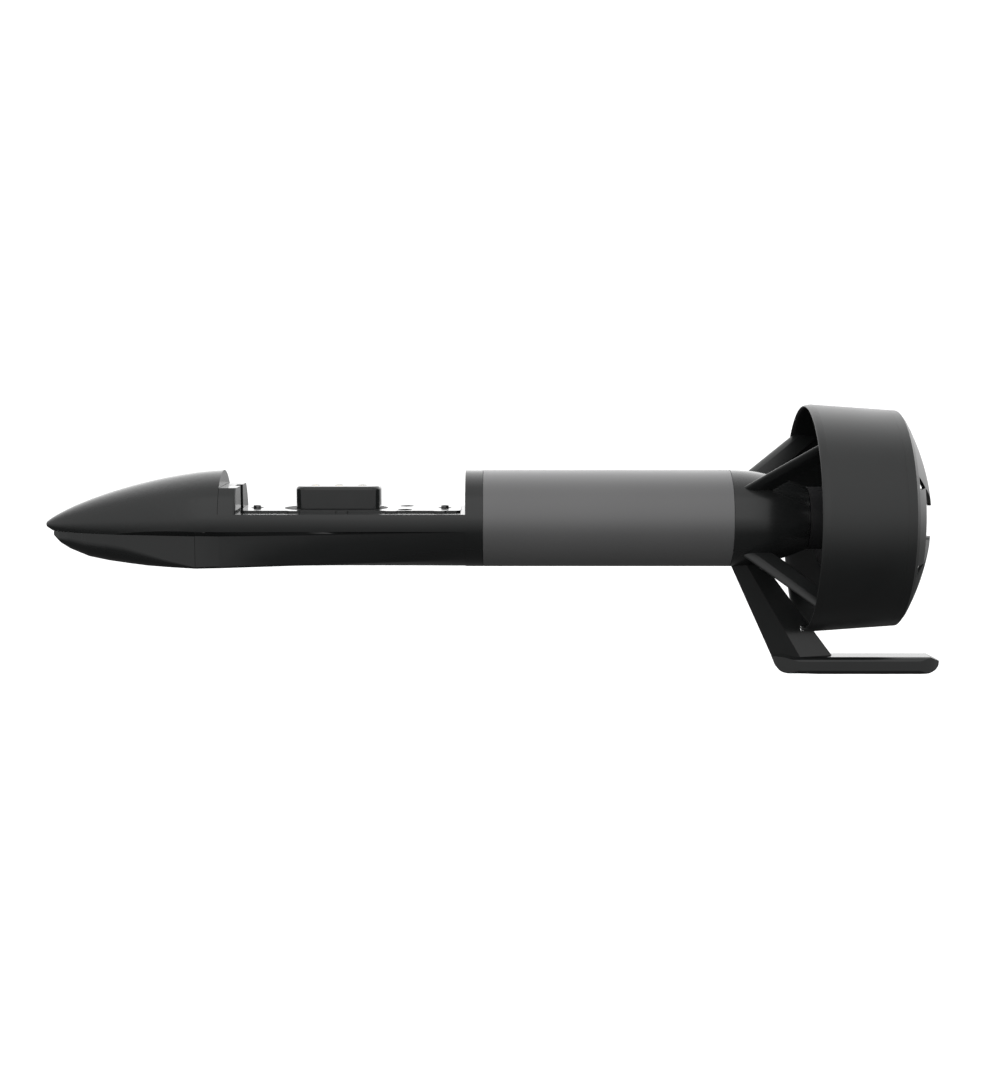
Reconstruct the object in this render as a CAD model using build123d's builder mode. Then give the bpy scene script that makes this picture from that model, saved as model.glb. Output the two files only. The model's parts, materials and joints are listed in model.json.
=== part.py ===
from build123d import *
import os
from math import asin, atan, cos, degrees, hypot, pi, radians, sin

os.makedirs("parts", exist_ok=True)

# Electric hydrofoil propulsion unit: fuselage with mast seat, motor tube, tail cone, ducted propeller.
# Millimetres. X runs aft along the shaft, Y to starboard, Z up. The origin lies midway between the
# mast bolts, on the top face of the seat plate. Heights in sketches are measured from the shaft.

# Body and tube
tube_radius = 35.0
tube_wall = 4.0
tube_length = 178.6
tube_edge = 0.4
collar_length = 12.5
spigot_length = 15.3
fit_gap = 0.05
seam_gap = 0.25
groove_inset = 5.0
groove_width = 2.4
groove_depth = 1.5

# Mast seat
seat_front_x = -131.8
seat_length = 175.2
ledge_height = 5.9
plate_thickness = 1.6
plate_half_width = 21.5
plate_corner = 4.0
plate_front_gap = 14.0
plate_aft_gap = 3.5
lobe_xs = (-79.2, -44.8, -9.8, 25.3)
lobe_width = 9.0
lobe_reach = 2.0

# Nose and keel
nose_length = 131.0
nose_droop = 4.4
nose_tip_radius = 1.2
keel_aft_x = -148.8
keel_front_x = -256.0
seam_height_tip = -9.0
seam_height_aft = -9.9
block_half_width = 29.5
block_depth = 33.5
block_corner = 1.2
crease_height = -6.5
crease_length = 59.0
crease_lip = 0.3

# Mast block, connector and holes in the seat
front_block_length = 12.3
block_top = 24.0
block_edge = 2.5
block_groove_width = 12.0
block_groove_depth = 4.0
block_screw_inset = 4.6
boss_length = 60.8
boss_width = 26.0
boss_corner = 8.0
boss_top_round = 2.5
boss_x = -48.5
boss_root_depth = 5.0
recess_length = 75.0
recess_width = 37.0
recess_x = -50.6
gasket_thickness = 1.4
contact_radius = 3.5
contact_sink = 0.3
contact_flange_radius = 6.5
contact_flange_thickness = 2.0
contact_pitch = 17.0
pan_screw_radius = 1.5
pan_screw_length = 12.0
pan_head_radius = 2.8
pan_head_height = 2.8
block_screw_radius = 1.5
block_screw_head_radius = 2.9
block_screw_depth = 12.0
keel_screw_radius = 2.5
keel_head_radius = 4.25
keel_head_height = 5.0
keel_screw_length = 31.0
bell_screw_radius = 2.0
bell_head_radius = 3.5
bell_head_height = 4.0
bell_screw_depth = 12.0
mast_bolt_spacing = 28.0
mast_bolt_clearance_radius = 5.1
pan_screw_xs = (-108.0, 28.2)
pan_recess_radius = 4.75
pan_recess_depth = 0.8
insert_wall = 1.2
insert_length = 16.0
m8_core_radius = 3.4
m6_core_radius = 2.5
wing_pad_depth = 33.3
wing_pad_width = 26.0
wing_pad_aft_x = -74.0
wing_bolt_x = -110.3
wing_bolt_spacing = 45.0
keel_screw_x = -176.8
keel_screw_spacing = 18.0
keel_screw_seat = -27.5

# Power leads
lead_radius = 1.8
lead_pitch = 4.6
lead_height = -22.0
lead_bend = 12.0
lead_room = 0.4
lead_pit_room = 3.0

# Motor
bell_length = 12.0
bell_wall = 3.0
bell_eye_radius = 11.0
bell_skirt_radius = 25.2
bell_screw_circle = 21.0
bearing_bore_radius = 7.5
bearing_radius = 16.0
bearing_width = 9.0
bearing_race = 2.8
bearing_shield = 0.6
stator_length = 70.0
stator_start_x = 96.2
stator_bore_radius = 18.2
yoke_thickness = 5.9
slot_count = 12
tooth_width = 4.6
shoe_width = 7.8
shoe_thickness = 1.6
coil_thickness = 2.2
air_gap = 0.7
magnet_thickness = 2.2
magnet_count = 10
magnet_spacing = 2.0
rotor_overhang = 1.0
tie_bolt_radius = 1.5
tie_bolt_head_radius = 2.75
tie_bolt_head_height = 3.0
tie_bolt_circle = 28.0

# Tail cone
cone_length = 55.4
hub_radius = 22.7
cavity_radius = 27.5
cavity_length = 28.0
hub_eye_radius = 12.0
seal_width = 6.0
tail_bearing_inset = 15.7
ring_thickness = 1.2
ring_groove_depth = 1.0
ring_opening = 8.0

# Struts and duct
strut_angles = (45, 135, 225, 315)
strut_root_radius = 34.0
strut_root_front = 6.7
strut_root_chord = 23.0
strut_tip_chord = 20.5
strut_tip_radius = 80.0
strut_sweep = 47.5
strut_nose = 0.35
strut_edge = 0.5
strut_half_thickness = 2.6
strut_tip_half_thickness = 1.9
strut_screw_x = 255.0
strut_screw_radius = 1.5
strut_screw_head_radius = 2.75
strut_screw_head_height = 3.0
strut_screw_length = 13.0
duct_overlap = 2.1
duct_length = 59.1
duct_front_radius = 82.4
duct_aft_radius = 78.6
duct_wall = 3.0
duct_lip_length = 5.4
duct_spigot_length = 4.0
duct_spigot_radius = 77.2
duct_spigot_wall = 1.4

# Rear guard
guard_ring_length = 6.3
guard_edge = 2.4
guard_rim_radius = 75.2
guard_wall = 2.6
guard_depth = 21.5
guard_dome_radius = 178.0
guard_eye_radius = 18.0
window_rim_radius = 74.2
petal_inner_radius = 60.0
petal_half_width = 26.4
spoke_root = (76.0, 21.8)
spoke_shoulder = (56.9, 19.5)
spoke_tip_centre = 26.0
spoke_tip_radius = 7.5

# Skeg
leg_front_x = 236.7
leg_front_slope = 0.46
leg_chord = 25.0
leg_aft_slope = 0.754
leg_top = -30.0
leg_foot = -106.0
leg_ridge = 0.45
leg_edge = 0.7
leg_half_thickness = 5.5
leg_foot_half_thickness = 8.0
leg_clearance = 0.3
bar_top = -101.1
bar_height = 12.7
bar_half_width = 10.5
bar_nose_length = 19.0
bar_tail_length = 16.0
bar_aft_x = 390.2
bar_tail_height = -105.0
bar_edge = 3.0
knee = ((270.9, -109.3), (284.2, -113.0), (307.2, -113.8))
skeg_screw_x = 253.2
skeg_screw_radius = 2.5
skeg_screw_head_radius = 4.25
skeg_screw_head_height = 5.0
skeg_screw_length = 18.0
skeg_screw_spacing = 9.4
stabiliser_bolt_x = 347.2
stabiliser_bolt_spacing = 30.0
bar_insert_length = 9.0

# Propeller and shaft
running_gap = 0.4
blade_count = 3
blade_x = 312.2
blade_pitch = 115.0
blade_camber = 0.03
blade_radii = (19, 34, 50, 64, 73, 76.3)
blade_chords = (26, 33, 34, 28, 18, 8)
blade_thicknesses = (6, 4.6, 3.4, 2.4, 1.6, 1.0)
prop_hub_length = 44.0
prop_seat_radius = 6.0
nut_pocket_radius = 13.0
nut_pocket_depth = 10.0
washer_radius = 9.0
washer_thickness = 1.6
nut_corner_radius = 9.6
nut_height = 7.6
thread_radius = 5.0
thread_length = 14.0
drive_pin_radius = 2.0
drive_pin_length = 28.0
drive_pin_inset = 3.3
spinner_length = 25.0
spinner_screw_radius = 2.0
spinner_screw_head_radius = 3.8
spinner_screw_depth = 12.0
spinner_tip_radius = 4.6

# Stations along the shaft, heights and radii that follow from the sizes above
shaft_z = -(ledge_height + plate_thickness)
seat_aft_x = seat_front_x + seat_length
tube_front_x = seat_aft_x + collar_length
collar_x = seat_aft_x + 1
tube_aft_x = tube_front_x + tube_length
tube_bore = tube_radius - tube_wall
spigot_radius = tube_bore - fit_gap
spigot_aft_x = tube_front_x + spigot_length
plate_front_x = seat_front_x + plate_front_gap
plate_aft_x = seat_aft_x - plate_aft_gap
root_height = ledge_height - boss_root_depth
hub_seam_x = tube_aft_x + cone_length
cavity_aft_x = tube_aft_x + cavity_length
stator_aft_x = stator_start_x + stator_length
rotor_front_x = stator_start_x - rotor_overhang
rotor_aft_x = stator_aft_x + rotor_overhang
rear_bell_x = stator_aft_x + bell_length
tail_bearing_x = hub_seam_x - tail_bearing_inset - bearing_width
bearing_xs = (spigot_aft_x + bell_wall, rear_bell_x + bell_wall, tail_bearing_x)
seals_front_x = tail_bearing_x + bearing_width
seals_aft_x = seals_front_x + 2 * seal_width
shaft_radius = bearing_bore_radius - fit_gap
duct_front_x = hub_seam_x - duct_overlap
duct_aft_x = duct_front_x + duct_length
prop_front_x = hub_seam_x + running_gap
prop_aft_x = prop_front_x + prop_hub_length
nut_seat_x = prop_aft_x - nut_pocket_depth
shaft_end_x = nut_seat_x + thread_length
bar_bottom = bar_top - bar_height
channel_height = 2 * (lead_radius + lead_room)
channel_width = 2 * (lead_pitch + lead_radius + lead_room)
spot_radius = cavity_radius + 0.5
shaft_axis = Axis((0, 0, shaft_z), (1, 0, 0))


def station(x):
    """Cross-section plane: its x runs to starboard and its y runs up, from the shaft."""
    return Plane(origin=(x, 0, shaft_z), x_dir=(0, 1, 0), z_dir=(1, 0, 0))


def side_view(y=0):
    """Side plane: its x runs aft and its y runs up, from the shaft."""
    return Plane(origin=(0, y, shaft_z), x_dir=(1, 0, 0), z_dir=(0, -1, 0))


def deck(height):
    """Level plane at a height above the shaft."""
    return Plane.XY.offset(shaft_z + height)


def turned(x0, x1, inner, outer):
    """Ring round the shaft between two stations."""
    with BuildPart() as ring:
        with BuildSketch(station(x0)):
            Circle(outer)
            Circle(inner, mode=Mode.SUBTRACT)
        extrude(amount=x1 - x0)
    return ring.part


def about_shaft(piece, angle):
    """The piece turned about the shaft by an angle."""
    return piece.rotate(shaft_axis, angle)


def socket_screw(head_radius, head_height, shank_radius, shank_length, socket_radius):
    """Socket-head screw with its seat at the origin and its shank down Z."""
    with BuildPart() as screw:
        with BuildSketch():
            Circle(head_radius)
        extrude(amount=head_height)
        with BuildSketch():
            Circle(shank_radius)
        extrude(amount=-shank_length)
        with BuildSketch(Plane.XY.offset(head_height)):
            RegularPolygon(socket_radius, 6)
        extrude(amount=-head_height / 2, mode=Mode.SUBTRACT)
    return screw.part


def threaded_insert(core_radius, length):
    """Threaded insert with its mouth at the origin and its body down Z."""
    with BuildPart() as insert:
        with BuildSketch():
            Circle(core_radius + insert_wall)
            Circle(core_radius, mode=Mode.SUBTRACT)
        extrude(amount=-length)
    return insert.part


# Fuselage: nose
def nose_share(x):
    """Share of the way from the nose's aft end to its tip."""
    return (seat_front_x - x) / nose_length


def nose_radius(x):
    """Radius of the nose at a station: an ogive."""
    return tube_radius * (1 - nose_share(x) ** 1.6) ** 0.75


def nose_centre(x):
    """Height of the nose's centre line, which droops towards the tip."""
    return -nose_droop * nose_share(x) ** 1.3


nose_shares = (0, 0.1, 0.25, 0.4, 0.55, 0.69, 0.81, 0.9, 0.96, 0.99)

with BuildPart() as nose:
    for share in nose_shares:
        x = seat_front_x - share * nose_length
        with BuildSketch(station(x)):
            with Locations((0, nose_centre(x))):
                Circle(nose_radius(x))
    loft()
    fillet(nose.edges().sort_by(Axis.X)[0], radius=nose_tip_radius)

# The seam plane falls a little from the tip to the block behind the keel
seam_slope = (seam_height_aft - seam_height_tip) / (keel_aft_x - seat_front_x + nose_length)


def seam_height(x):
    """Height of the seam between nose and keel at a station."""
    return seam_height_aft + seam_slope * (x - keel_aft_x)


def seam_plane(drop=0.0):
    """Plane under the nose, with its normal up."""
    origin = (keel_aft_x, 0, shaft_z + seam_height_aft - drop)
    return Plane(origin=origin, x_dir=(1, 0, seam_slope), z_dir=(-seam_slope, 0, 1))


def nose_half_width(x, height):
    """Half width of the nose at a station and a height."""
    return (nose_radius(x) ** 2 - (height - nose_centre(x)) ** 2) ** 0.5


# The crease under the nose's edge starts at nothing and widens to the block
crease_start_x = keel_aft_x - crease_length
crease_start_height = seam_height(crease_start_x)
crease_outer = nose_half_width(keel_aft_x, crease_height)
crease_run = Vector(
    -crease_length,
    nose_half_width(crease_start_x, crease_start_height) - block_half_width,
    crease_start_height - seam_height_aft,
)
crease_overrun = 1.1

with BuildPart() as crease:
    with BuildSketch(station(keel_aft_x)):
        facet_y = crease_outer - block_half_width
        facet_z = crease_height - seam_height_aft
        inner = (block_half_width - facet_y, seam_height_aft - facet_z)
        outer = (crease_outer + 2 * facet_y, crease_height + 2 * facet_z)
        with BuildLine():
            Polyline(inner, outer, (outer[0], inner[1]), close=True)
        make_face()
    extrude(amount=crease_overrun * crease_run.length, dir=crease_run.normalized())
    mirror(about=Plane.XZ)

# Lower body: flat sides and a square keel in front, which turn into the round tube aft
lower_radius = tube_radius - crease_lip
round_angles = (degrees(asin(crease_height / lower_radius)), -22, -56, -66)
round_points = [(lower_radius * cos(radians(a)), lower_radius * sin(radians(a))) for a in round_angles]
block_points = [
    (crease_outer - crease_lip, crease_height),
    (block_half_width, seam_height_aft),
    (block_half_width, -block_depth + block_corner),
    (block_half_width - block_corner, -block_depth),
]
seat_share = (seat_front_x - keel_aft_x) / (collar_x - keel_aft_x)
seat_points = [
    (y0 + (y1 - y0) * seat_share, z0 + (z1 - z0) * seat_share)
    for (y0, z0), (y1, z1) in zip(block_points, round_points)
]
seat_points[0] = round_points[0]


def lower_section(x, points, straight):
    """Section of the lower body: flat on top, with a crease, a side and a corner on each flank."""
    outline = points + [(-y, z) for y, z in reversed(points)]
    with BuildSketch(station(x)) as section:
        with BuildLine():
            for start, end in zip(outline, outline[1:]):
                if straight:
                    Line(start, end)
                else:
                    RadiusArc(start, end, lower_radius)
            Line(outline[-1], outline[0])
        make_face()
    return section.sketch


with BuildPart() as lower_body:
    block_section = lower_section(keel_aft_x, block_points, True)
    seat_section = lower_section(seat_front_x, seat_points, True)
    round_section = lower_section(collar_x, round_points, False)
    loft(sections=[block_section, seat_section, round_section], ruled=True)

# Pieces used as cutters
front_groove = turned(
    tube_front_x + groove_inset,
    tube_front_x + groove_inset + groove_width,
    spigot_radius - groove_depth,
    tube_radius,
)
aft_groove = turned(
    tube_aft_x - groove_inset - groove_width,
    tube_aft_x - groove_inset,
    spigot_radius - groove_depth,
    tube_radius,
)

lead_pit_length = 2 * (contact_pitch + contact_flange_radius + lead_pit_room)
lead_pit_width = 2 * (contact_flange_radius + lead_pit_room)
lead_floor = lead_height - channel_height / 2
insert_radius_m8 = m8_core_radius + insert_wall
insert_radius_m6 = m6_core_radius + insert_wall
wing_bolts = Plane(origin=(wing_bolt_x, 0, shaft_z - wing_pad_depth), x_dir=(1, 0, 0), z_dir=(0, 0, -1))
keel_screw_seats = Plane(origin=(keel_screw_x, 0, shaft_z + keel_screw_seat), x_dir=(1, 0, 0), z_dir=(0, 0, -1))
block_screw_x = seat_front_x + block_screw_inset

with BuildPart() as fuselage:
    add(nose.part)
    split(bisect_by=seam_plane(), keep=Keep.TOP)
    add(crease.part, mode=Mode.SUBTRACT)
    with BuildSketch(side_view()):
        with Locations((keel_aft_x, crease_height)):
            Rectangle(100, 100, align=(Align.MIN, Align.MAX))
    extrude(amount=tube_radius, both=True, mode=Mode.SUBTRACT)
    # Round back of the body, above the crease
    with BuildSketch(station(seat_front_x)):
        Circle(tube_radius)
        with Locations((0, crease_height)):
            Rectangle(100, 100, align=(Align.CENTER, Align.MAX), mode=Mode.SUBTRACT)
    extrude(amount=collar_x - seat_front_x)
    add(lower_body.part)
    with BuildSketch(station(seat_aft_x)):
        Circle(tube_radius)
    extrude(amount=collar_length)
    # Spigot that enters the motor tube, with a groove for its sealing ring
    with BuildSketch(station(tube_front_x)):
        Circle(spigot_radius)
    extrude(amount=spigot_length)
    add(front_groove, mode=Mode.SUBTRACT)
    # Open seat for the mast, with a ledge for the plate
    with BuildSketch(side_view()):
        with Locations((seat_front_x, ledge_height)):
            Rectangle(seat_length, tube_radius, align=(Align.MIN, Align.MIN))
    extrude(amount=tube_radius, both=True, mode=Mode.SUBTRACT)
    # Pit for the connector's root, then pit and channel for the power leads
    with BuildSketch(deck(root_height)):
        with Locations((boss_x, 0)):
            RectangleRounded(boss_length + 2 * seam_gap, boss_width + 2 * seam_gap, boss_corner)
    extrude(amount=boss_root_depth, mode=Mode.SUBTRACT)
    with BuildSketch(deck(lead_floor)):
        with Locations((boss_x, 0)):
            Rectangle(lead_pit_length, lead_pit_width)
    extrude(amount=root_height - lead_floor, mode=Mode.SUBTRACT)
    with BuildSketch(side_view()):
        with Locations((boss_x, lead_floor)):
            Rectangle(spigot_aft_x - boss_x, channel_height, align=(Align.MIN, Align.MIN))
    extrude(amount=channel_width / 2, both=True, mode=Mode.SUBTRACT)
    # Flat pad for the front wing, with its insert holes
    with BuildSketch(side_view()):
        with Locations((wing_pad_aft_x, -wing_pad_depth)):
            Rectangle(100, 10, align=(Align.MAX, Align.MAX))
    extrude(amount=wing_pad_width / 2, both=True, mode=Mode.SUBTRACT)
    with Locations(wing_bolts):
        with GridLocations(wing_bolt_spacing, 0, 2, 1):
            Hole(insert_radius_m8 + fit_gap, insert_length)
    # Insert holes for the mast bolts, screw holes for plate, block, keel and front bell
    with Locations(deck(ledge_height)):
        with GridLocations(0, mast_bolt_spacing, 1, 2):
            Hole(insert_radius_m8 + fit_gap, insert_length)
        with Locations(*[(x, 0) for x in pan_screw_xs]):
            Hole(pan_screw_radius + fit_gap, pan_screw_length)
        with Locations((block_screw_x, 0)):
            Hole(block_screw_radius + fit_gap, block_screw_depth)
    with Locations(keel_screw_seats):
        with GridLocations(0, keel_screw_spacing, 1, 2):
            Hole(keel_screw_radius + fit_gap, keel_screw_length)
    with Locations(station(spigot_aft_x)):
        with PolarLocations(bell_screw_circle, 4, 45):
            Hole(bell_screw_radius + fit_gap, bell_screw_depth)

# Lower nose piece, under the seam
keel_stations = (
    (keel_front_x, -12.2, 0.5),
    (-251.0, -17.4, 3.5),
    (-244.2, -22.0, 8.5),
    (-229.6, -27.5, 12),
    (-214.8, -30.0, 13.5),
    (-200.3, -31.6, 13),
    (-185.8, -32.8, 10),
    (-170.8, -33.2, 6),
    (keel_aft_x - seam_gap, -block_depth, block_corner),
)


def keel_half_width(x):
    """Half width of the keel's top: the nose's width, then the crease's straight run."""
    if x < crease_start_x:
        return nose_half_width(x, seam_height(x))
    share = (x - crease_start_x) / crease_length
    start = nose_half_width(crease_start_x, crease_start_height)
    return start + (block_half_width - start) * share


with BuildPart() as nose_keel:
    for x, bottom, corner in keel_stations:
        half_width = keel_half_width(x)
        top = seam_height(x) - seam_gap
        with BuildSketch(station(x)) as keel_section:
            with BuildLine():
                Polyline((-half_width, top), (-half_width, bottom), (half_width, bottom), (half_width, top), close=True)
            make_face()
            fillet(keel_section.vertices().group_by(Axis.Y)[0], radius=corner)
    loft(ruled=True)
    with Locations(keel_screw_seats):
        with GridLocations(0, keel_screw_spacing, 1, 2):
            Hole(keel_head_radius + seam_gap, keel_screw_seat + block_depth + 1)
            Hole(keel_screw_radius + seam_gap, 60)


# Screws that hold the keel from below
keel_screw = socket_screw(
    keel_head_radius, keel_head_height, keel_screw_radius, keel_screw_length - seam_gap, keel_head_radius / 2
)

with BuildPart() as keel_screws:
    with Locations(keel_screw_seats):
        with GridLocations(0, keel_screw_spacing, 1, 2):
            add(keel_screw)

# Locating block at the front of the mast seat, with a groove for the mast's edge
with BuildPart() as mast_front_block:
    with BuildSketch(station(seat_front_x + seam_gap)):
        Circle(tube_radius)
        with Locations((0, ledge_height)):
            Rectangle(100, block_top - ledge_height, align=(Align.CENTER, Align.MIN), mode=Mode.INTERSECT)
    extrude(amount=front_block_length)
    block_aft = mast_front_block.faces().sort_by(Axis.X)[-1]
    fillet(block_aft.edges().filter_by(GeomType.CIRCLE), radius=block_edge)
    with BuildSketch(deck(block_top)):
        with Locations((seat_front_x + seam_gap + front_block_length, 0)):
            Rectangle(2 * block_groove_depth, block_groove_width)
    extrude(amount=ledge_height - block_top, mode=Mode.SUBTRACT)
    with Locations(deck(block_top)):
        with Locations((block_screw_x, 0)):
            CounterSinkHole(block_screw_radius + fit_gap, block_screw_head_radius + fit_gap)

with BuildPart() as front_block_screw:
    with BuildSketch(side_view()):
        with BuildLine():
            Polyline(
                (block_screw_x, block_top),
                (block_screw_x + block_screw_head_radius, block_top),
                (block_screw_x + block_screw_radius, block_top - block_screw_head_radius + block_screw_radius),
                (block_screw_x + block_screw_radius, ledge_height - block_screw_depth),
                (block_screw_x, ledge_height - block_screw_depth),
                close=True,
            )
        make_face()
    revolve(axis=Axis((block_screw_x, 0, 0), (0, 0, 1)))
    with BuildSketch(deck(block_top)):
        with Locations((block_screw_x, 0)):
            RegularPolygon(block_screw_radius * 0.8, 6)
    extrude(amount=-block_screw_radius * 0.7, mode=Mode.SUBTRACT)

# Thin plate on the ledge, with lobes along its edges and an opening for the connector
with BuildPart() as seat_plate:
    with BuildSketch(deck(ledge_height)) as plate_outline:
        with Locations(((plate_front_x + plate_aft_x) / 2, 0)):
            RectangleRounded(plate_aft_x - plate_front_x, 2 * plate_half_width, plate_corner)
        with Locations(*[(x, 0) for x in lobe_xs]):
            RectangleRounded(lobe_width, 2 * (plate_half_width + lobe_reach), lobe_reach)
        with Locations((recess_x, 0)):
            SlotOverall(recess_length, recess_width, mode=Mode.SUBTRACT)
        with GridLocations(0, mast_bolt_spacing, 1, 2):
            Circle(mast_bolt_clearance_radius, mode=Mode.SUBTRACT)
        with Locations(*[(x, 0) for x in pan_screw_xs]):
            Circle(pan_screw_radius + seam_gap, mode=Mode.SUBTRACT)
    extrude(amount=plate_thickness)
    with Locations(Plane.XY):
        with Locations(*[(x, 0) for x in pan_screw_xs]):
            Hole(pan_recess_radius, pan_recess_depth)

# Pan-head screws of the plate
with BuildPart() as seat_plate_screws:
    with Locations(*[(x, 0, -pan_recess_depth) for x in pan_screw_xs]):
        Cylinder(pan_head_radius, pan_head_height, align=(Align.CENTER, Align.CENTER, Align.MIN))
    fillet(seat_plate_screws.edges().group_by(Axis.Z)[-1], radius=pan_head_radius / 3)
    with Locations(*[(x, 0, -pan_recess_depth) for x in pan_screw_xs]):
        Cylinder(pan_screw_radius, pan_screw_length, align=(Align.CENTER, Align.CENTER, Align.MAX))
    with BuildSketch(Plane.XY.offset(pan_head_height - pan_recess_depth)):
        with Locations(*[(x, 0) for x in pan_screw_xs]):
            RegularPolygon(pan_head_radius / 2, 6)
    extrude(amount=-pan_head_height / 2, mode=Mode.SUBTRACT)

# Connector for the mast's power plug, its contacts and its gasket
contact_xs = [boss_x + index * contact_pitch for index in (-1, 0, 1)]

with BuildPart() as connector_boss:
    with BuildSketch(deck(root_height)):
        with Locations((boss_x, 0)):
            RectangleRounded(boss_length, boss_width, boss_corner)
    extrude(amount=block_top - root_height)
    fillet(connector_boss.edges().group_by(Axis.Z)[-1], radius=boss_top_round)
    with Locations(deck(block_top)):
        with Locations(*[(x, 0) for x in contact_xs]):
            Hole(contact_radius + fit_gap)

with BuildPart() as connector_contacts:
    with BuildSketch(deck(root_height)):
        with Locations(*[(x, 0) for x in contact_xs]):
            Circle(contact_flange_radius)
    extrude(amount=-contact_flange_thickness)
    with BuildSketch(deck(root_height)):
        with Locations(*[(x, 0) for x in contact_xs]):
            Circle(contact_radius)
    extrude(amount=block_top - contact_sink - root_height)

with BuildPart() as connector_seal:
    with BuildSketch(deck(ledge_height)):
        with Locations((recess_x, 0)):
            SlotOverall(recess_length - 2 * seam_gap, recess_width - 2 * seam_gap)
        with Locations((boss_x, 0)):
            RectangleRounded(boss_length + 2 * fit_gap, boss_width + 2 * fit_gap, boss_corner, mode=Mode.SUBTRACT)
    extrude(amount=gasket_thickness)

# Threaded inserts for the mast bolts and for the front wing
m8_insert = threaded_insert(m8_core_radius, insert_length)
m6_insert = threaded_insert(m6_core_radius, bar_insert_length)

with BuildPart() as mast_inserts:
    with Locations(deck(ledge_height)):
        with GridLocations(0, mast_bolt_spacing, 1, 2):
            add(m8_insert)

with BuildPart() as wing_inserts:
    with Locations(wing_bolts):
        with GridLocations(wing_bolt_spacing, 0, 2, 1):
            add(m8_insert)

# Power leads: down from each contact, then aft along the channel to the windings
lead_top = root_height - contact_flange_thickness
coil_front_x = stator_start_x - coil_thickness

with BuildPart() as phase_leads:
    for index, x in zip((-1, 0, 1), contact_xs):
        y = index * lead_pitch
        with BuildLine() as lead_route:
            FilletPolyline(
                (x, y, shaft_z + lead_top),
                (x, y, shaft_z + lead_height),
                (coil_front_x, y, shaft_z + lead_height),
                radius=lead_bend,
            )
        with BuildSketch(Plane(origin=(x, y, shaft_z + lead_top), z_dir=(0, 0, -1))):
            Circle(lead_radius)
        sweep(path=lead_route.line)

# Sealing rings at both ends of the motor tube
ring_inner = spigot_radius - groove_depth + fit_gap
with BuildPart() as tube_orings:
    for x in (tube_front_x + groove_inset, tube_aft_x - groove_inset - groove_width):
        with BuildSketch(station(x + fit_gap)):
            Circle(spigot_radius)
            Circle(ring_inner, mode=Mode.SUBTRACT)
        extrude(amount=groove_width - 2 * fit_gap)

# Motor tube
with BuildPart() as motor_tube:
    with BuildSketch(station(tube_front_x)):
        Circle(tube_radius)
        Circle(tube_bore, mode=Mode.SUBTRACT)
    extrude(amount=tube_length)
    rims = motor_tube.edges().filter_by(GeomType.CIRCLE)
    chamfer(rims.filter_by(lambda edge: edge.radius > tube_bore + tube_edge), length=tube_edge)

# Motor: end bells, stator, windings and the bolts that clamp them
with BuildPart() as front_end_bell:
    with BuildSketch(station(spigot_aft_x)):
        Circle(spigot_radius)
        Circle(bell_eye_radius, mode=Mode.SUBTRACT)
    extrude(amount=bell_length)
    with BuildSketch(station(bearing_xs[0])):
        Circle(bearing_radius + fit_gap)
    extrude(amount=bell_length, mode=Mode.SUBTRACT)
    with BuildSketch(station(spigot_aft_x + bell_length)):
        Circle(spigot_radius)
        Circle(bell_skirt_radius, mode=Mode.SUBTRACT)
    extrude(amount=stator_start_x - spigot_aft_x - bell_length)
    with BuildSketch(station(spigot_aft_x)):
        with Locations((0, lead_height)):
            Rectangle(channel_width, channel_height)
    extrude(amount=bell_length, mode=Mode.SUBTRACT)
    with Locations(station(spigot_aft_x + bell_length)):
        with PolarLocations(bell_screw_circle, 4, 45):
            CounterBoreHole(bell_screw_radius + fit_gap, bell_head_radius + seam_gap, bell_head_height)
    with Locations(station(stator_start_x)):
        with PolarLocations(tie_bolt_circle, 4):
            Hole(tie_bolt_radius + fit_gap, stator_start_x - spigot_aft_x - bell_wall)

bell_screw = socket_screw(
    bell_head_radius,
    bell_head_height,
    bell_screw_radius,
    bell_length - bell_head_height + bell_screw_depth - seam_gap,
    bell_head_radius / 2,
)
with BuildPart() as bell_screws:
    with Locations(station(spigot_aft_x + bell_length - bell_head_height)):
        with PolarLocations(bell_screw_circle, 4, 45):
            add(bell_screw)

with BuildPart() as stator_core:
    with BuildSketch(station(stator_start_x)):
        Circle(spigot_radius)
        Circle(spigot_radius - yoke_thickness, mode=Mode.SUBTRACT)
        with PolarLocations(0, slot_count):
            with Locations((stator_bore_radius - 1, 0)):
                Rectangle(spigot_radius - yoke_thickness - stator_bore_radius + 3, tooth_width, align=(Align.MIN, Align.CENTER))
            with Locations((stator_bore_radius - 1, 0)):
                Rectangle(shoe_thickness + 1, shoe_width, align=(Align.MIN, Align.CENTER))
        Circle(stator_bore_radius, mode=Mode.SUBTRACT)
        with PolarLocations(tie_bolt_circle, 4):
            Circle(tie_bolt_radius + fit_gap, mode=Mode.SUBTRACT)
    extrude(amount=stator_length)

# One coil round each tooth
coil_inner_radius = stator_bore_radius + shoe_thickness
coil_outer_radius = spigot_radius - yoke_thickness - coil_thickness / 3
coil_width = tooth_width + 2 * coil_thickness
with BuildPart() as stator_windings:
    with BuildSketch(deck(coil_inner_radius)):
        with Locations(((stator_start_x + stator_aft_x) / 2, 0)):
            Rectangle(stator_length + 2 * coil_thickness, coil_width)
            Rectangle(stator_length, tooth_width, mode=Mode.SUBTRACT)
    extrude(amount=coil_outer_radius - coil_inner_radius)

coils = [about_shaft(stator_windings.part, index * 360 / slot_count) for index in range(slot_count)]
with BuildPart() as stator_windings:
    add(coils)

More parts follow.
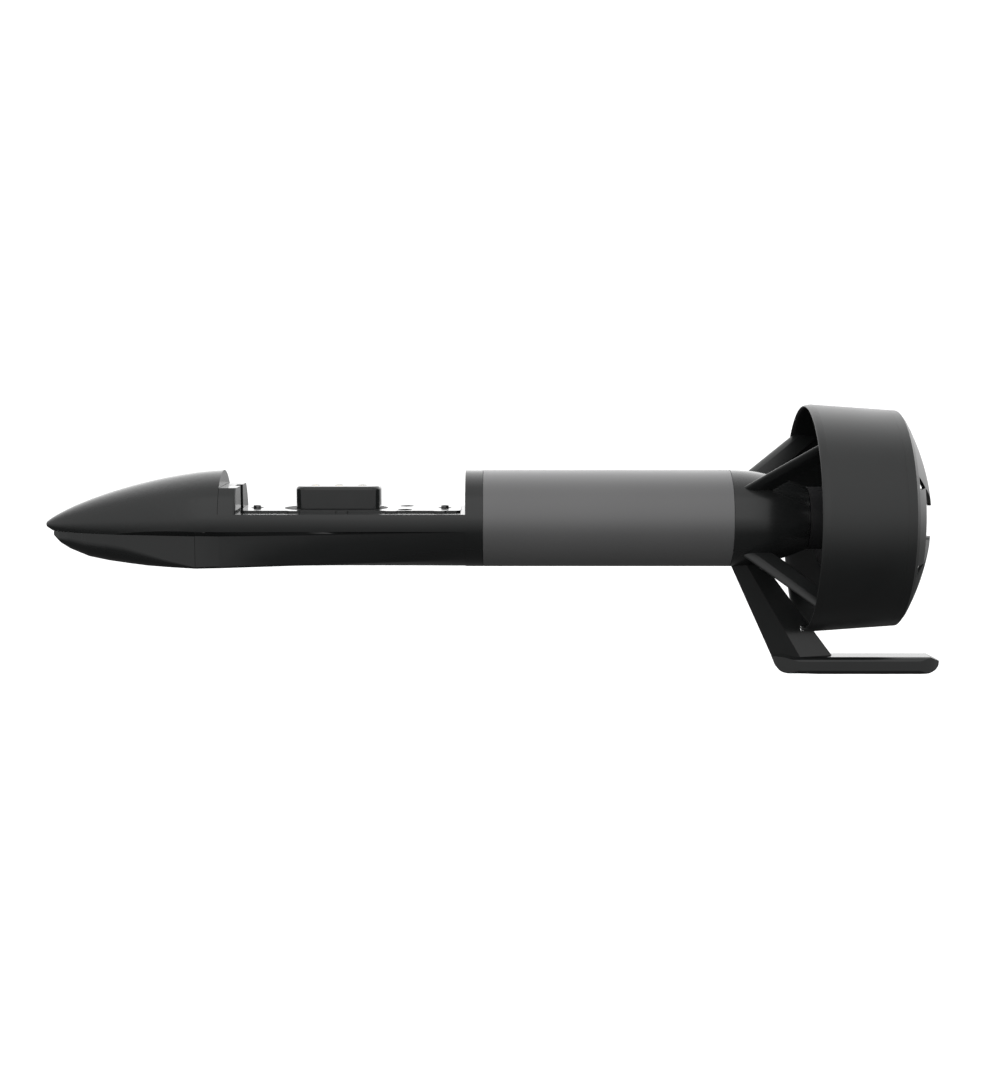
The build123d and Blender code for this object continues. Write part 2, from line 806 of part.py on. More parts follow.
with BuildPart() as rear_end_bell:
    with BuildSketch(station(rear_bell_x)):
        Circle(spigot_radius)
        Circle(bell_eye_radius, mode=Mode.SUBTRACT)
    extrude(amount=bell_length)
    with BuildSketch(station(stator_aft_x)):
        Circle(spigot_radius)
        Circle(bell_skirt_radius, mode=Mode.SUBTRACT)
    extrude(amount=rear_bell_x - stator_aft_x)
    with BuildSketch(station(bearing_xs[1])):
        Circle(bearing_radius + fit_gap)
    extrude(amount=bearing_width, mode=Mode.SUBTRACT)
    with Locations(station(rear_bell_x + bell_length)):
        with PolarLocations(tie_bolt_circle, 4):
            Hole(tie_bolt_radius + fit_gap)

tie_bolt = socket_screw(
    tie_bolt_head_radius,
    tie_bolt_head_height,
    tie_bolt_radius,
    rear_bell_x + bell_length - spigot_aft_x - bell_wall - seam_gap,
    tie_bolt_head_radius / 2,
)
with BuildPart() as motor_tie_bolts:
    with Locations(station(rear_bell_x + bell_length)):
        with PolarLocations(tie_bolt_circle, 4):
            add(tie_bolt)

# Bearings: outer rings with shields, inner rings on the shaft
race_inner = bearing_radius - bearing_race
race_outer = bearing_bore_radius + bearing_race
with BuildPart() as bearing_outer_rings:
    for x in bearing_xs:
        with BuildSketch(side_view()):
            with BuildLine():
                Polyline(
                    (x, race_outer + fit_gap),
                    (x, bearing_radius),
                    (x + bearing_width, bearing_radius),
                    (x + bearing_width, race_outer + fit_gap),
                    (x + bearing_width - bearing_shield, race_outer + fit_gap),
                    (x + bearing_width - bearing_shield, race_inner),
                    (x + bearing_shield, race_inner),
                    (x + bearing_shield, race_outer + fit_gap),
                    close=True,
                )
            make_face()
        revolve(axis=shaft_axis)

with BuildPart() as bearing_inner_rings:
    for x in bearing_xs:
        with BuildSketch(station(x)):
            Circle(race_outer)
            Circle(bearing_bore_radius, mode=Mode.SUBTRACT)
        extrude(amount=bearing_width)

# Rotor: core, magnets and spacers between core and bearings
magnet_inner = stator_bore_radius - air_gap - magnet_thickness
with BuildPart() as rotor_core:
    with BuildSketch(station(rotor_front_x)):
        Circle(magnet_inner)
        Circle(bearing_bore_radius, mode=Mode.SUBTRACT)
    extrude(amount=rotor_aft_x - rotor_front_x)

with BuildPart() as rotor_magnets:
    with BuildSketch(station(rotor_front_x)):
        Circle(magnet_inner + magnet_thickness)
        Circle(magnet_inner, mode=Mode.SUBTRACT)
        with PolarLocations(magnet_inner, magnet_count):
            Rectangle(4 * magnet_thickness, magnet_spacing, mode=Mode.SUBTRACT)
    extrude(amount=rotor_aft_x - rotor_front_x)

with BuildPart() as rotor_spacers:
    for x0, x1 in ((bearing_xs[0] + bearing_width, rotor_front_x), (rotor_aft_x, bearing_xs[1])):
        with BuildSketch(station(x0)):
            Circle(race_outer - bearing_shield)
            Circle(bearing_bore_radius, mode=Mode.SUBTRACT)
        extrude(amount=x1 - x0)

with BuildPart() as motor_shaft:
    for x0, x1, radius in (
        (bearing_xs[0], prop_front_x, shaft_radius),
        (prop_front_x, nut_seat_x, prop_seat_radius),
        (nut_seat_x, shaft_end_x, thread_radius),
    ):
        with BuildSketch(station(x0)):
            Circle(radius)
        extrude(amount=x1 - x0)
    with Locations(station(shaft_end_x)):
        Hole(spinner_screw_radius + fit_gap, spinner_screw_depth)
    with Locations(Plane(origin=(prop_front_x + drive_pin_inset, 0, shaft_z), z_dir=(0, 1, 0))):
        Hole(drive_pin_radius + fit_gap)

# Tail cone: outer curve, spigot, hollow front and a solid hub
with BuildPart() as cone_blank:
    with BuildSketch(side_view()):
        with BuildLine():
            TangentArc((tube_aft_x, tube_radius), (hub_seam_x, hub_radius), tangent=(1, 0))
            Polyline(
                (hub_seam_x, hub_radius),
                (hub_seam_x, 0),
                (tube_aft_x - spigot_length, 0),
                (tube_aft_x - spigot_length, spigot_radius),
                (tube_aft_x, spigot_radius),
                (tube_aft_x, tube_radius),
            )
        make_face()
    revolve(axis=shaft_axis)



def strut_screw_plane(angle):
    """Plane at a strut's screw, with its normal from the strut's root to the shaft."""
    inward = Vector(0, -cos(radians(angle)), -sin(radians(angle)))
    return Plane(origin=(strut_screw_x, 0, shaft_z), x_dir=(1, 0, 0), z_dir=inward)


with BuildPart() as tail_cone:
    add(cone_blank.part)
    with BuildSketch(station(tube_aft_x - spigot_length)):
        Circle(cavity_radius)
    extrude(amount=spigot_length + cavity_length, mode=Mode.SUBTRACT)
    with BuildSketch(station(cavity_aft_x)):
        Circle(hub_eye_radius)
    extrude(amount=cone_length, mode=Mode.SUBTRACT)
    with BuildSketch(station(tail_bearing_x)):
        Circle(bearing_radius + fit_gap)
    extrude(amount=cone_length, mode=Mode.SUBTRACT)
    add(aft_groove, mode=Mode.SUBTRACT)
    with BuildSketch(station(seals_aft_x)):
        Circle(bearing_radius + ring_groove_depth)
    extrude(amount=ring_thickness + fit_gap, mode=Mode.SUBTRACT)
    for angle in strut_angles:
        with BuildSketch(strut_screw_plane(angle)):
            Circle(strut_screw_head_radius + seam_gap)
        extrude(amount=-spot_radius, mode=Mode.SUBTRACT)
        with BuildSketch(strut_screw_plane(angle)):
            Circle(strut_screw_radius + fit_gap)
        extrude(amount=-tube_radius, mode=Mode.SUBTRACT)
    with BuildSketch(deck(0)):
        with Locations((skeg_screw_x, 0)):
            with GridLocations(skeg_screw_spacing, 0, 2, 1):
                Circle(skeg_screw_head_radius + fit_gap)
    extrude(amount=-spot_radius, mode=Mode.SUBTRACT)
    with BuildSketch(deck(0)):
        with Locations((skeg_screw_x, 0)):
            with GridLocations(skeg_screw_spacing, 0, 2, 1):
                Circle(skeg_screw_radius + fit_gap)
    extrude(amount=-tube_radius, mode=Mode.SUBTRACT)

# Shaft seals and the spring ring that keeps them in
with BuildPart() as shaft_seals:
    for x in (seals_front_x, seals_front_x + seal_width):
        with BuildSketch(station(x)):
            Circle(bearing_radius)
            Circle(bearing_bore_radius, mode=Mode.SUBTRACT)
        extrude(amount=seal_width - fit_gap)

with BuildPart() as seal_retaining_ring:
    with BuildSketch(station(seals_aft_x)):
        Circle(bearing_radius + ring_groove_depth - fit_gap)
        Circle(bearing_radius - bearing_race, mode=Mode.SUBTRACT)
        with Locations((0, bearing_radius)):
            Rectangle(ring_opening, 4 * bearing_race, mode=Mode.SUBTRACT)
    extrude(amount=ring_thickness)

# Struts and duct, one moulding
def strut_section(radius):
    """Fin section of a strut at a radius: an elliptical nose and a straight taper."""
    share = (radius - strut_root_radius) / (strut_tip_radius - strut_root_radius)
    front = tube_aft_x + strut_root_front + strut_sweep * share
    chord = strut_root_chord + (strut_tip_chord - strut_root_chord) * share
    half = strut_half_thickness + (strut_tip_half_thickness - strut_half_thickness) * share
    nose = strut_nose * chord
    ridge = front + nose
    aft = front + chord
    with BuildSketch(deck(radius)) as section:
        with BuildLine():
            EllipticalCenterArc((ridge, 0), nose, half, start_angle=90, arc_size=180)
            Polyline((ridge, half), (aft, strut_edge), (aft, -strut_edge), (ridge, -half))
        make_face()
    return section.sketch


with BuildPart() as strut:
    strut_root = strut_section(strut_root_radius - 8)
    strut_tip = strut_section(strut_tip_radius)
    loft(sections=[strut_root, strut_tip], ruled=True)
    add(cone_blank.part, mode=Mode.SUBTRACT)

duct_lip_radius = duct_front_radius - duct_wall / 2
duct_slope = (duct_front_radius - duct_aft_radius) / (duct_length - duct_lip_length)
with BuildPart() as duct:
    with BuildSketch(side_view()):
        with BuildLine():
            lip_x = duct_front_x + duct_lip_length
            EllipticalCenterArc(
                (lip_x, duct_lip_radius), duct_lip_length, duct_wall / 2, start_angle=90, arc_size=180
            )
            Polyline(
                (lip_x, duct_front_radius),
                (duct_aft_x, duct_aft_radius),
                (duct_aft_x, duct_spigot_radius),
                (duct_aft_x + duct_spigot_length, duct_spigot_radius),
                (duct_aft_x + duct_spigot_length, duct_spigot_radius - duct_spigot_wall),
                (lip_x, duct_front_radius - duct_wall),
            )
        make_face()
    revolve(axis=shaft_axis)

struts = [about_shaft(strut.part, angle) for angle in strut_angles]
strut_hole_depth = spot_radius + strut_screw_length + seam_gap
with BuildPart() as duct_guard:
    add(duct.part)
    add(struts)
    for angle in strut_angles:
        with BuildSketch(strut_screw_plane(angle)):
            Circle(strut_screw_radius + fit_gap)
        extrude(amount=-strut_hole_depth, mode=Mode.SUBTRACT)

strut_screw = socket_screw(
    strut_screw_head_radius,
    strut_screw_head_height,
    strut_screw_radius,
    strut_screw_length,
    strut_screw_head_radius / 2,
)
with BuildPart() as strut_screws:
    for angle in strut_angles:
        with Locations(strut_screw_plane(angle).offset(-spot_radius)):
            add(strut_screw)

# Rear guard: ring, petals and spokes cut from one domed shell
guard_front_x = duct_aft_x + fit_gap
guard_edge_x = guard_front_x + guard_ring_length
guard_rim_x = guard_edge_x + guard_edge
dome_aft_x = guard_rim_x + guard_depth
socket_aft_x = duct_aft_x + duct_spigot_length + 2 * seam_gap
socket_radius = duct_spigot_radius + fit_gap
guard_edge_radius = duct_aft_radius - duct_slope * guard_ring_length


def spoke_outline():
    """Outline of one spoke in the end view, towards starboard: wide at the ring, round at the tip."""
    with BuildSketch(Plane.XY) as outline:
        with BuildLine():
            Polyline(
                (spoke_tip_centre, spoke_tip_radius),
                spoke_shoulder,
                spoke_root,
                (spoke_root[0], -spoke_root[1]),
                (spoke_shoulder[0], -spoke_shoulder[1]),
                (spoke_tip_centre, -spoke_tip_radius),
            )
            ThreePointArc(
                (spoke_tip_centre, spoke_tip_radius),
                (spoke_tip_centre - spoke_tip_radius, 0),
                (spoke_tip_centre, -spoke_tip_radius),
            )
        make_face()
    return outline.sketch


spoke = spoke_outline()
with BuildPart() as rear_guard:
    with BuildSketch(side_view()):
        with BuildLine():
            Polyline(
                (socket_aft_x, socket_radius),
                (guard_front_x, socket_radius),
                (guard_front_x, duct_aft_radius),
                (guard_edge_x, guard_edge_radius),
                (guard_rim_x, guard_rim_radius),
            )
            RadiusArc((guard_rim_x, guard_rim_radius), (dome_aft_x, guard_eye_radius), guard_dome_radius)
            Line((dome_aft_x, guard_eye_radius), (dome_aft_x - guard_wall, guard_eye_radius))
            RadiusArc(
                (dome_aft_x - guard_wall, guard_eye_radius),
                (guard_rim_x - guard_wall, guard_rim_radius),
                -guard_dome_radius,
            )
            Polyline(
                (guard_rim_x - guard_wall, guard_rim_radius),
                (socket_aft_x, guard_rim_radius),
                (socket_aft_x, socket_radius),
            )
        make_face()
    revolve(axis=shaft_axis)
    # Openings of the end view: the disc inside the rim, less petals and spokes
    with BuildSketch(station(guard_front_x)):
        Circle(window_rim_radius)
        Rectangle(2 * duct_front_radius, 2 * petal_half_width, mode=Mode.SUBTRACT)
        Rectangle(2 * petal_half_width, 2 * duct_front_radius, mode=Mode.SUBTRACT)
        Circle(petal_inner_radius)
        with PolarLocations(0, 4, 45):
            add(spoke, mode=Mode.SUBTRACT)
    extrude(amount=2 * guard_depth, mode=Mode.SUBTRACT)

# Skeg: leg and bar that carry the rear wing
def leg_section(height):
    """Section of the leg: a ridge between two thin edges."""
    drop = -tube_radius - height
    share = (height + tube_radius) / (bar_top + tube_radius)
    front = leg_front_x + leg_front_slope * drop
    aft = leg_front_x + leg_chord + leg_aft_slope * drop
    ridge = front + leg_ridge * (aft - front)
    half = leg_half_thickness + (leg_foot_half_thickness - leg_half_thickness) * share
    with BuildSketch(deck(height)) as section:
        with BuildLine():
            Polyline(
                (front, leg_edge),
                (ridge, half),
                (aft, leg_edge),
                (aft, -leg_edge),
                (ridge, -half),
                (front, -leg_edge),
                close=True,
            )
        make_face()
    return section.sketch


duct_clearance = turned(
    duct_front_x - leg_clearance,
    duct_aft_x,
    duct_front_radius - duct_wall - leg_clearance,
    duct_front_radius + leg_clearance,
)
leg_bar_x = leg_front_x + leg_front_slope * (-tube_radius - bar_top)
bar_middle = (bar_top + bar_bottom) / 2

with BuildPart() as bar:
    with BuildSketch(side_view()):
        with BuildLine():
            Polyline((bar_aft_x, bar_tail_height), (bar_aft_x - bar_tail_length / 2, bar_top), (leg_bar_x, bar_top), knee[0])
            Spline(*knee, tangents=((leg_front_slope, -1), (1, 0)))
            Line(knee[-1], (bar_aft_x - bar_tail_length, bar_bottom))
            EllipticalCenterArc(
                (bar_aft_x - bar_tail_length, bar_tail_height),
                bar_tail_length,
                bar_tail_height - bar_bottom,
                start_angle=270,
                arc_size=90,
            )
        make_face()
    extrude(amount=bar_half_width, both=True)
    # Plan view: elliptical nose and tail
    with BuildSketch(deck(bar_top)):
        nose_end = leg_bar_x + bar_nose_length
        tail_start = bar_aft_x - bar_tail_length
        with BuildLine():
            EllipticalCenterArc((nose_end, 0), bar_nose_length, bar_half_width, start_angle=90, arc_size=180)
            EllipticalCenterArc((tail_start, 0), bar_tail_length, bar_half_width, start_angle=-90, arc_size=180)
            Line((nose_end, bar_half_width), (tail_start, bar_half_width))
            Line((nose_end, -bar_half_width), (tail_start, -bar_half_width))
        make_face()
    extrude(amount=-2 * bar_height, mode=Mode.INTERSECT)
    # Rounded edges
    with BuildSketch(station(leg_front_x)):
        with Locations((0, bar_middle)):
            RectangleRounded(2 * bar_half_width, bar_height, bar_edge)
    extrude(amount=bar_aft_x, mode=Mode.INTERSECT)

bar_bolts = Plane(origin=(stabiliser_bolt_x, 0, shaft_z + bar_bottom), x_dir=(1, 0, 0), z_dir=(0, 0, -1))
with BuildPart() as tail_skeg:
    leg_head = leg_section(leg_top)
    leg_end = leg_section(leg_foot)
    loft(sections=[leg_head, leg_end], ruled=True)
    add(cone_blank.part, mode=Mode.SUBTRACT)
    add(duct_clearance, mode=Mode.SUBTRACT)
    add(bar.part)
    with BuildSketch(deck(0)):
        with Locations((skeg_screw_x, 0)):
            with GridLocations(skeg_screw_spacing, 0, 2, 1):
                Circle(skeg_screw_radius + fit_gap)
    extrude(amount=-spot_radius - skeg_screw_length - seam_gap, mode=Mode.SUBTRACT)
    with Locations(bar_bolts):
        with GridLocations(stabiliser_bolt_spacing, 0, 2, 1):
            Hole(insert_radius_m6 + fit_gap, bar_insert_length)

skeg_screw = socket_screw(
    skeg_screw_head_radius,
    skeg_screw_head_height,
    skeg_screw_radius,
    skeg_screw_length,
    skeg_screw_head_radius / 2,
)
with BuildPart() as skeg_screws:
    with Locations(deck(-spot_radius)):
        with Locations((skeg_screw_x, 0)):
            with GridLocations(skeg_screw_spacing, 0, 2, 1):
                add(skeg_screw)

with BuildPart() as stabiliser_inserts:
    with Locations(bar_bolts):
        with GridLocations(stabiliser_bolt_spacing, 0, 2, 1):
            add(m6_insert)

# Propeller: hub with slot for the drive pin, pocket for the nut, and twisted blades
def blade_section(radius, chord, thickness):
    """Blade section at a radius: two arcs on a chord that lies along the helix."""
    helix = degrees(atan(blade_pitch / (2 * pi * radius)))
    middle = blade_camber * chord
    plane = Plane(
        origin=(blade_x, 0, shaft_z + radius),
        x_dir=(sin(radians(helix)), cos(radians(helix)), 0),
        z_dir=(0, 0, 1),
    )
    with BuildSketch(plane) as section:
        with BuildLine():
            ThreePointArc((-chord / 2, 0), (0, middle + thickness / 2), (chord / 2, 0))
            ThreePointArc((chord / 2, 0), (0, middle - thickness / 2), (-chord / 2, 0))
        make_face()
    return section.sketch


with BuildPart() as blade:
    sections = [
        blade_section(radius, chord, thickness)
        for radius, chord, thickness in zip(blade_radii, blade_chords, blade_thicknesses)
    ]
    loft(sections=sections)

blades = [about_shaft(blade.part, 360 / blade_count * index) for index in range(blade_count)]
drive_pin_x = prop_front_x + drive_pin_inset
pin_slot_depth = drive_pin_inset + drive_pin_radius + fit_gap
with BuildPart() as propeller:
    with BuildSketch(station(prop_front_x)):
        Circle(hub_radius)
    extrude(amount=prop_hub_length)
    add(blades)
    with BuildSketch(station(prop_front_x)):
        Circle(prop_seat_radius + fit_gap)
    extrude(amount=prop_hub_length, mode=Mode.SUBTRACT)
    with BuildSketch(station(nut_seat_x)):
        Circle(nut_pocket_radius)
    extrude(amount=nut_pocket_depth, mode=Mode.SUBTRACT)
    with BuildSketch(station(prop_front_x)):
        Rectangle(drive_pin_length + 2 * seam_gap, 2 * (drive_pin_radius + fit_gap))
    extrude(amount=pin_slot_depth, mode=Mode.SUBTRACT)

with BuildPart() as prop_drive_pin:
    with BuildSketch(Plane(origin=(drive_pin_x, -drive_pin_length / 2, shaft_z), z_dir=(0, 1, 0))):
        Circle(drive_pin_radius)
    extrude(amount=drive_pin_length)

with BuildPart() as prop_washer:
    with BuildSketch(station(nut_seat_x)):
        Circle(washer_radius)
        Circle(thread_radius + fit_gap, mode=Mode.SUBTRACT)
    extrude(amount=washer_thickness)

with BuildPart() as prop_nut:
    with BuildSketch(station(nut_seat_x + washer_thickness)):
        RegularPolygon(nut_corner_radius, 6)
        Circle(thread_radius + fit_gap, mode=Mode.SUBTRACT)
    extrude(amount=nut_height)

# Spinner over the nut, with its screw into the shaft's end
spinner_aft_x = prop_aft_x + spinner_length
spinner_bore = thread_radius + 1
sink_depth = spinner_screw_head_radius - spinner_screw_radius
with BuildPart() as spinner:
    with BuildSketch(side_view()):
        with BuildLine():
            EllipticalCenterArc((prop_aft_x, 0), spinner_length + 1, hub_radius, start_angle=0, arc_size=90)
            Polyline((prop_aft_x, hub_radius), (prop_aft_x, 0), (spinner_aft_x + 1, 0))
        make_face()
        with Locations((spinner_aft_x, 0)):
            Rectangle(10, 30, align=(Align.MIN, Align.CENTER), mode=Mode.SUBTRACT)
    revolve(axis=shaft_axis)
    with BuildSketch(station(prop_aft_x)):
        Circle(spinner_bore)
    extrude(amount=shaft_end_x - prop_aft_x + 1, mode=Mode.SUBTRACT)
    with Locations(station(spinner_aft_x)):
        CounterSinkHole(spinner_screw_radius + fit_gap, spinner_screw_head_radius + fit_gap)

with BuildPart() as spinner_screw:
    with BuildSketch(side_view()):
        with BuildLine():
            Polyline(
                (spinner_aft_x, 0),
                (spinner_aft_x, spinner_screw_head_radius),
                (spinner_aft_x - sink_depth, spinner_screw_radius),
                (shaft_end_x - spinner_screw_depth + seam_gap, spinner_screw_radius),
                (shaft_end_x - spinner_screw_depth + seam_gap, 0),
                close=True,
            )
        make_face()
    revolve(axis=shaft_axis)
    with BuildSketch(station(spinner_aft_x)):
        RegularPolygon(spinner_screw_radius * 0.6, 6)
    extrude(amount=-spinner_screw_radius * 0.7, mode=Mode.SUBTRACT)

pieces = {
    "fuselage": fuselage,
    "nose_keel": nose_keel,
    "keel_screws": keel_screws,
    "mast_front_block": mast_front_block,
    "front_block_screw": front_block_screw,
    "seat_plate": seat_plate,
    "seat_plate_screws": seat_plate_screws,
    "connector_boss": connector_boss,
    "connector_contacts": connector_contacts,
    "connector_seal": connector_seal,
    "mast_inserts": mast_inserts,
    "wing_inserts": wing_inserts,
    "phase_leads": phase_leads,
    "tube_orings": tube_orings,
    "motor_tube": motor_tube,
    "front_end_bell": front_end_bell,
    "bell_screws": bell_screws,
    "stator_core": stator_core,
    "stator_windings": stator_windings,
    "rear_end_bell": rear_end_bell,
    "motor_tie_bolts": motor_tie_bolts,
    "bearing_outer_rings": bearing_outer_rings,
    "shaft_seals": shaft_seals,
    "seal_retaining_ring": seal_retaining_ring,
    "tail_cone": tail_cone,
    "duct_guard": duct_guard,
    "strut_screws": strut_screws,
    "tail_skeg": tail_skeg,
    "skeg_screws": skeg_screws,
    "stabiliser_inserts": stabiliser_inserts,
    "rear_guard": rear_guard,
    "motor_shaft": motor_shaft,
    "rotor_core": rotor_core,
    "rotor_magnets": rotor_magnets,
    "bearing_inner_rings": bearing_inner_rings,
    "rotor_spacers": rotor_spacers,
    "propeller": propeller,
    "prop_drive_pin": prop_drive_pin,
    "prop_washer": prop_washer,
    "prop_nut": prop_nut,
    "spinner": spinner,
    "spinner_screw": spinner_screw,
}
for name, piece in pieces.items():
    piece.part.label = name
    export_step(piece.part, f"parts/{name}.step")
    print(name, len(piece.part.solids()), round(piece.part.volume), piece.part.is_valid)
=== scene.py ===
import json
import math

import bpy
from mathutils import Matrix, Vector


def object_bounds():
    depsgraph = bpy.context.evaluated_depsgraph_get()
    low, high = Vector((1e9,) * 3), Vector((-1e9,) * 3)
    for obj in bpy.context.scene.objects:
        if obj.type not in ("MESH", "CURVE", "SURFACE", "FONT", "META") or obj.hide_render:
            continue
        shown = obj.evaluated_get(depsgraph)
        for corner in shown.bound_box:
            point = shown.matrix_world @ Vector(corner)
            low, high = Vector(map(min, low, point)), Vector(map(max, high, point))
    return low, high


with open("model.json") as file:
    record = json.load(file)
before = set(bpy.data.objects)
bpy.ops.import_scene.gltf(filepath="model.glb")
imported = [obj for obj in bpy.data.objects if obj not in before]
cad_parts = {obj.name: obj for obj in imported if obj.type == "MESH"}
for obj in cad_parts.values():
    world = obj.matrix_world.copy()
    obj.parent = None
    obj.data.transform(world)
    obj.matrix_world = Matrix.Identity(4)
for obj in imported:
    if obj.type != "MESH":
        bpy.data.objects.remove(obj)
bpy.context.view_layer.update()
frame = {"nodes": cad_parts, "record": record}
nodes = frame["nodes"]

# Electric hydrofoil propulsion unit: finishes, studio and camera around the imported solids.
# Metres. X runs aft along the shaft, Y to starboard, Z up.

MM = 0.001
grain_strength = 0.35
marks_strength = 0.4
marks_wander = 0.004


def new_group(name, inputs, outputs):
    """An empty shader group with float inputs {name: default} and outputs {name: socket type}."""
    group = bpy.data.node_groups.new(name, "ShaderNodeTree")
    for label, default in inputs.items():
        socket = group.interface.new_socket(name=label, in_out="INPUT", socket_type="NodeSocketFloat")
        socket.default_value = default
    for label, kind in outputs.items():
        group.interface.new_socket(name=label, in_out="OUTPUT", socket_type=kind)
    entry = group.nodes.new("NodeGroupInput")
    leave = group.nodes.new("NodeGroupOutput")
    return group, entry, leave


def maths(tree, operation, first, second):
    """A Math node on two values or sockets; returns its output."""
    node = tree.nodes.new("ShaderNodeMath")
    node.operation = operation
    for socket, value in zip(node.inputs, (first, second)):
        if isinstance(value, (int, float)):
            socket.default_value = value
        else:
            tree.links.new(value, socket)
    return node.outputs[0]


def object_place(tree):
    """Object coordinates, which are the row frame in metres."""
    return tree.nodes.new("ShaderNodeTexCoord").outputs["Object"]


def noise(tree, scale, detail, vector):
    """Noise texture at a scale per metre; returns its value."""
    node = tree.nodes.new("ShaderNodeTexNoise")
    node.inputs["Detail"].default_value = detail
    tree.links.new(vector, node.inputs["Vector"])
    if isinstance(scale, (int, float)):
        node.inputs["Scale"].default_value = scale
    else:
        tree.links.new(scale, node.inputs["Scale"])
    return node.outputs["Fac"]


def grain_group():
    """Fine even grain, as on blasted metal or moulded plastic. Height is noise, its size in millimetres."""
    group, entry, leave = new_group("fine_grain", {"Size": 0.4}, {"Height": "NodeSocketFloat"})
    scale = maths(group, "DIVIDE", 1 / MM, entry.outputs["Size"])
    height = noise(group, scale, 2.0, object_place(group))
    group.links.new(height, leave.inputs["Height"])
    return group


def cloud_group():
    """Broad soft patches of wear and handling. Mask is noise pushed to 0 and 1 by the contrast."""
    group, entry, leave = new_group(
        "handling_patches", {"Size": 60.0, "Contrast": 2.0}, {"Mask": "NodeSocketFloat"}
    )
    scale = maths(group, "DIVIDE", 1 / MM, entry.outputs["Size"])
    value = noise(group, scale, 4.0, object_place(group))
    centred = maths(group, "SUBTRACT", value, 0.5)
    pushed = maths(group, "MULTIPLY", centred, entry.outputs["Contrast"])
    mask = maths(group, "ADD", pushed, 0.5)
    limited = maths(group, "MINIMUM", maths(group, "MAXIMUM", mask, 0.0), 1.0)
    group.links.new(limited, leave.inputs["Mask"])
    return group


def turning_group():
    """Turning marks round the X axis. Height is noise that changes along X only, plus a slow wander."""
    group, entry, leave = new_group("turning_marks", {"Pitch": 0.25}, {"Height": "NodeSocketFloat"})
    place = object_place(group)
    split = group.nodes.new("ShaderNodeSeparateXYZ")
    group.links.new(place, split.inputs[0])
    along = group.nodes.new("ShaderNodeCombineXYZ")
    group.links.new(split.outputs["X"], along.inputs["X"])
    group.links.new(maths(group, "MULTIPLY", split.outputs["Z"], marks_wander), along.inputs["Y"])
    scale = maths(group, "DIVIDE", 1 / MM, entry.outputs["Pitch"])
    height = noise(group, scale, 3.0, along.outputs[0])
    group.links.new(height, leave.inputs["Height"])
    return group


fine_grain = grain_group()
handling_patches = cloud_group()
turning_marks = turning_group()


def place_group(tree, group, **values):
    """A group in a material with its own values."""
    node = tree.nodes.new("ShaderNodeGroup")
    node.node_tree = group
    for label, value in values.items():
        node.inputs[label].default_value = value
    return node


def blend_colour(tree, mask, dark, light):
    """Colour that goes from dark to light with the mask."""
    node = tree.nodes.new("ShaderNodeMix")
    node.data_type = "RGBA"
    tree.links.new(mask, node.inputs["Factor"])
    node.inputs["A"].default_value = (*dark, 1)
    node.inputs["B"].default_value = (*light, 1)
    return node.outputs["Result"]


def blend_value(tree, mask, low, high):
    """Value that goes from low to high with the mask."""
    node = tree.nodes.new("ShaderNodeMapRange")
    tree.links.new(mask, node.inputs["Value"])
    node.inputs["To Min"].default_value = low
    node.inputs["To Max"].default_value = high
    return node.outputs["Result"]


def start_material(name, metallic=0.0, specular=0.5):
    """A named material with its Principled shader, ready for links."""
    material = bpy.data.materials.new(name)
    material.use_nodes = True
    tree = material.node_tree
    shader = tree.nodes["Principled BSDF"]
    shader.inputs["Metallic"].default_value = metallic
    shader.inputs["Specular IOR Level"].default_value = specular
    return material, tree, shader


def raise_surface(tree, shader, height, strength, depth_mm):
    """Sends a height through a Bump node into the shader's normal."""
    bump = tree.nodes.new("ShaderNodeBump")
    bump.inputs["Strength"].default_value = strength
    bump.inputs["Distance"].default_value = depth_mm * MM
    tree.links.new(height, bump.inputs["Height"])
    tree.links.new(bump.outputs["Normal"], shader.inputs["Normal"])


def textured(name, dark, light, rough, grain_mm, depth_mm, patch_mm, metallic=0.0, specular=0.5):
    """A finish with patches between two colours and two roughnesses, and a fine grain."""
    material, tree, shader = start_material(name, metallic, specular)
    patches = place_group(tree, handling_patches, Size=patch_mm, Contrast=2.0).outputs["Mask"]
    tree.links.new(blend_colour(tree, patches, dark, light), shader.inputs["Base Color"])
    tree.links.new(blend_value(tree, patches, *rough), shader.inputs["Roughness"])
    grain = place_group(tree, fine_grain, Size=grain_mm).outputs["Height"]
    raise_surface(tree, shader, grain, grain_strength, depth_mm)
    return material


def turned_metal(name, dark, light, rough, pitch_mm, depth_mm, patch_mm, metallic):
    """A finish with turning marks round the shaft's axis over soft patches."""
    material, tree, shader = start_material(name, metallic)
    patches = place_group(tree, handling_patches, Size=patch_mm, Contrast=1.6).outputs["Mask"]
    tree.links.new(blend_colour(tree, patches, dark, light), shader.inputs["Base Color"])
    tree.links.new(blend_value(tree, patches, *rough), shader.inputs["Roughness"])
    marks = place_group(tree, turning_marks, Pitch=pitch_mm).outputs["Height"]
    raise_surface(tree, shader, marks, marks_strength, depth_mm)
    return material


# Body: black anodised aluminium, blasted before anodising
anodised_body = textured(
    "anodised_body", (0.013, 0.014, 0.014), (0.018, 0.019, 0.019), (0.19, 0.24), 0.5, 0.006, 70
)
# Seat plate: the same black, with a finer and shinier surface
anodised_plate = textured(
    "anodised_plate", (0.026, 0.027, 0.027), (0.034, 0.035, 0.035), (0.12, 0.17), 0.3, 0.003, 25
)
# Motor tube: bare aluminium, turned and then lightly blasted
tube_skin = turned_metal(
    "tube_skin", (0.145, 0.145, 0.146), (0.158, 0.158, 0.159), (0.34, 0.40), 0.3, 0.006, 90, 0.25
)
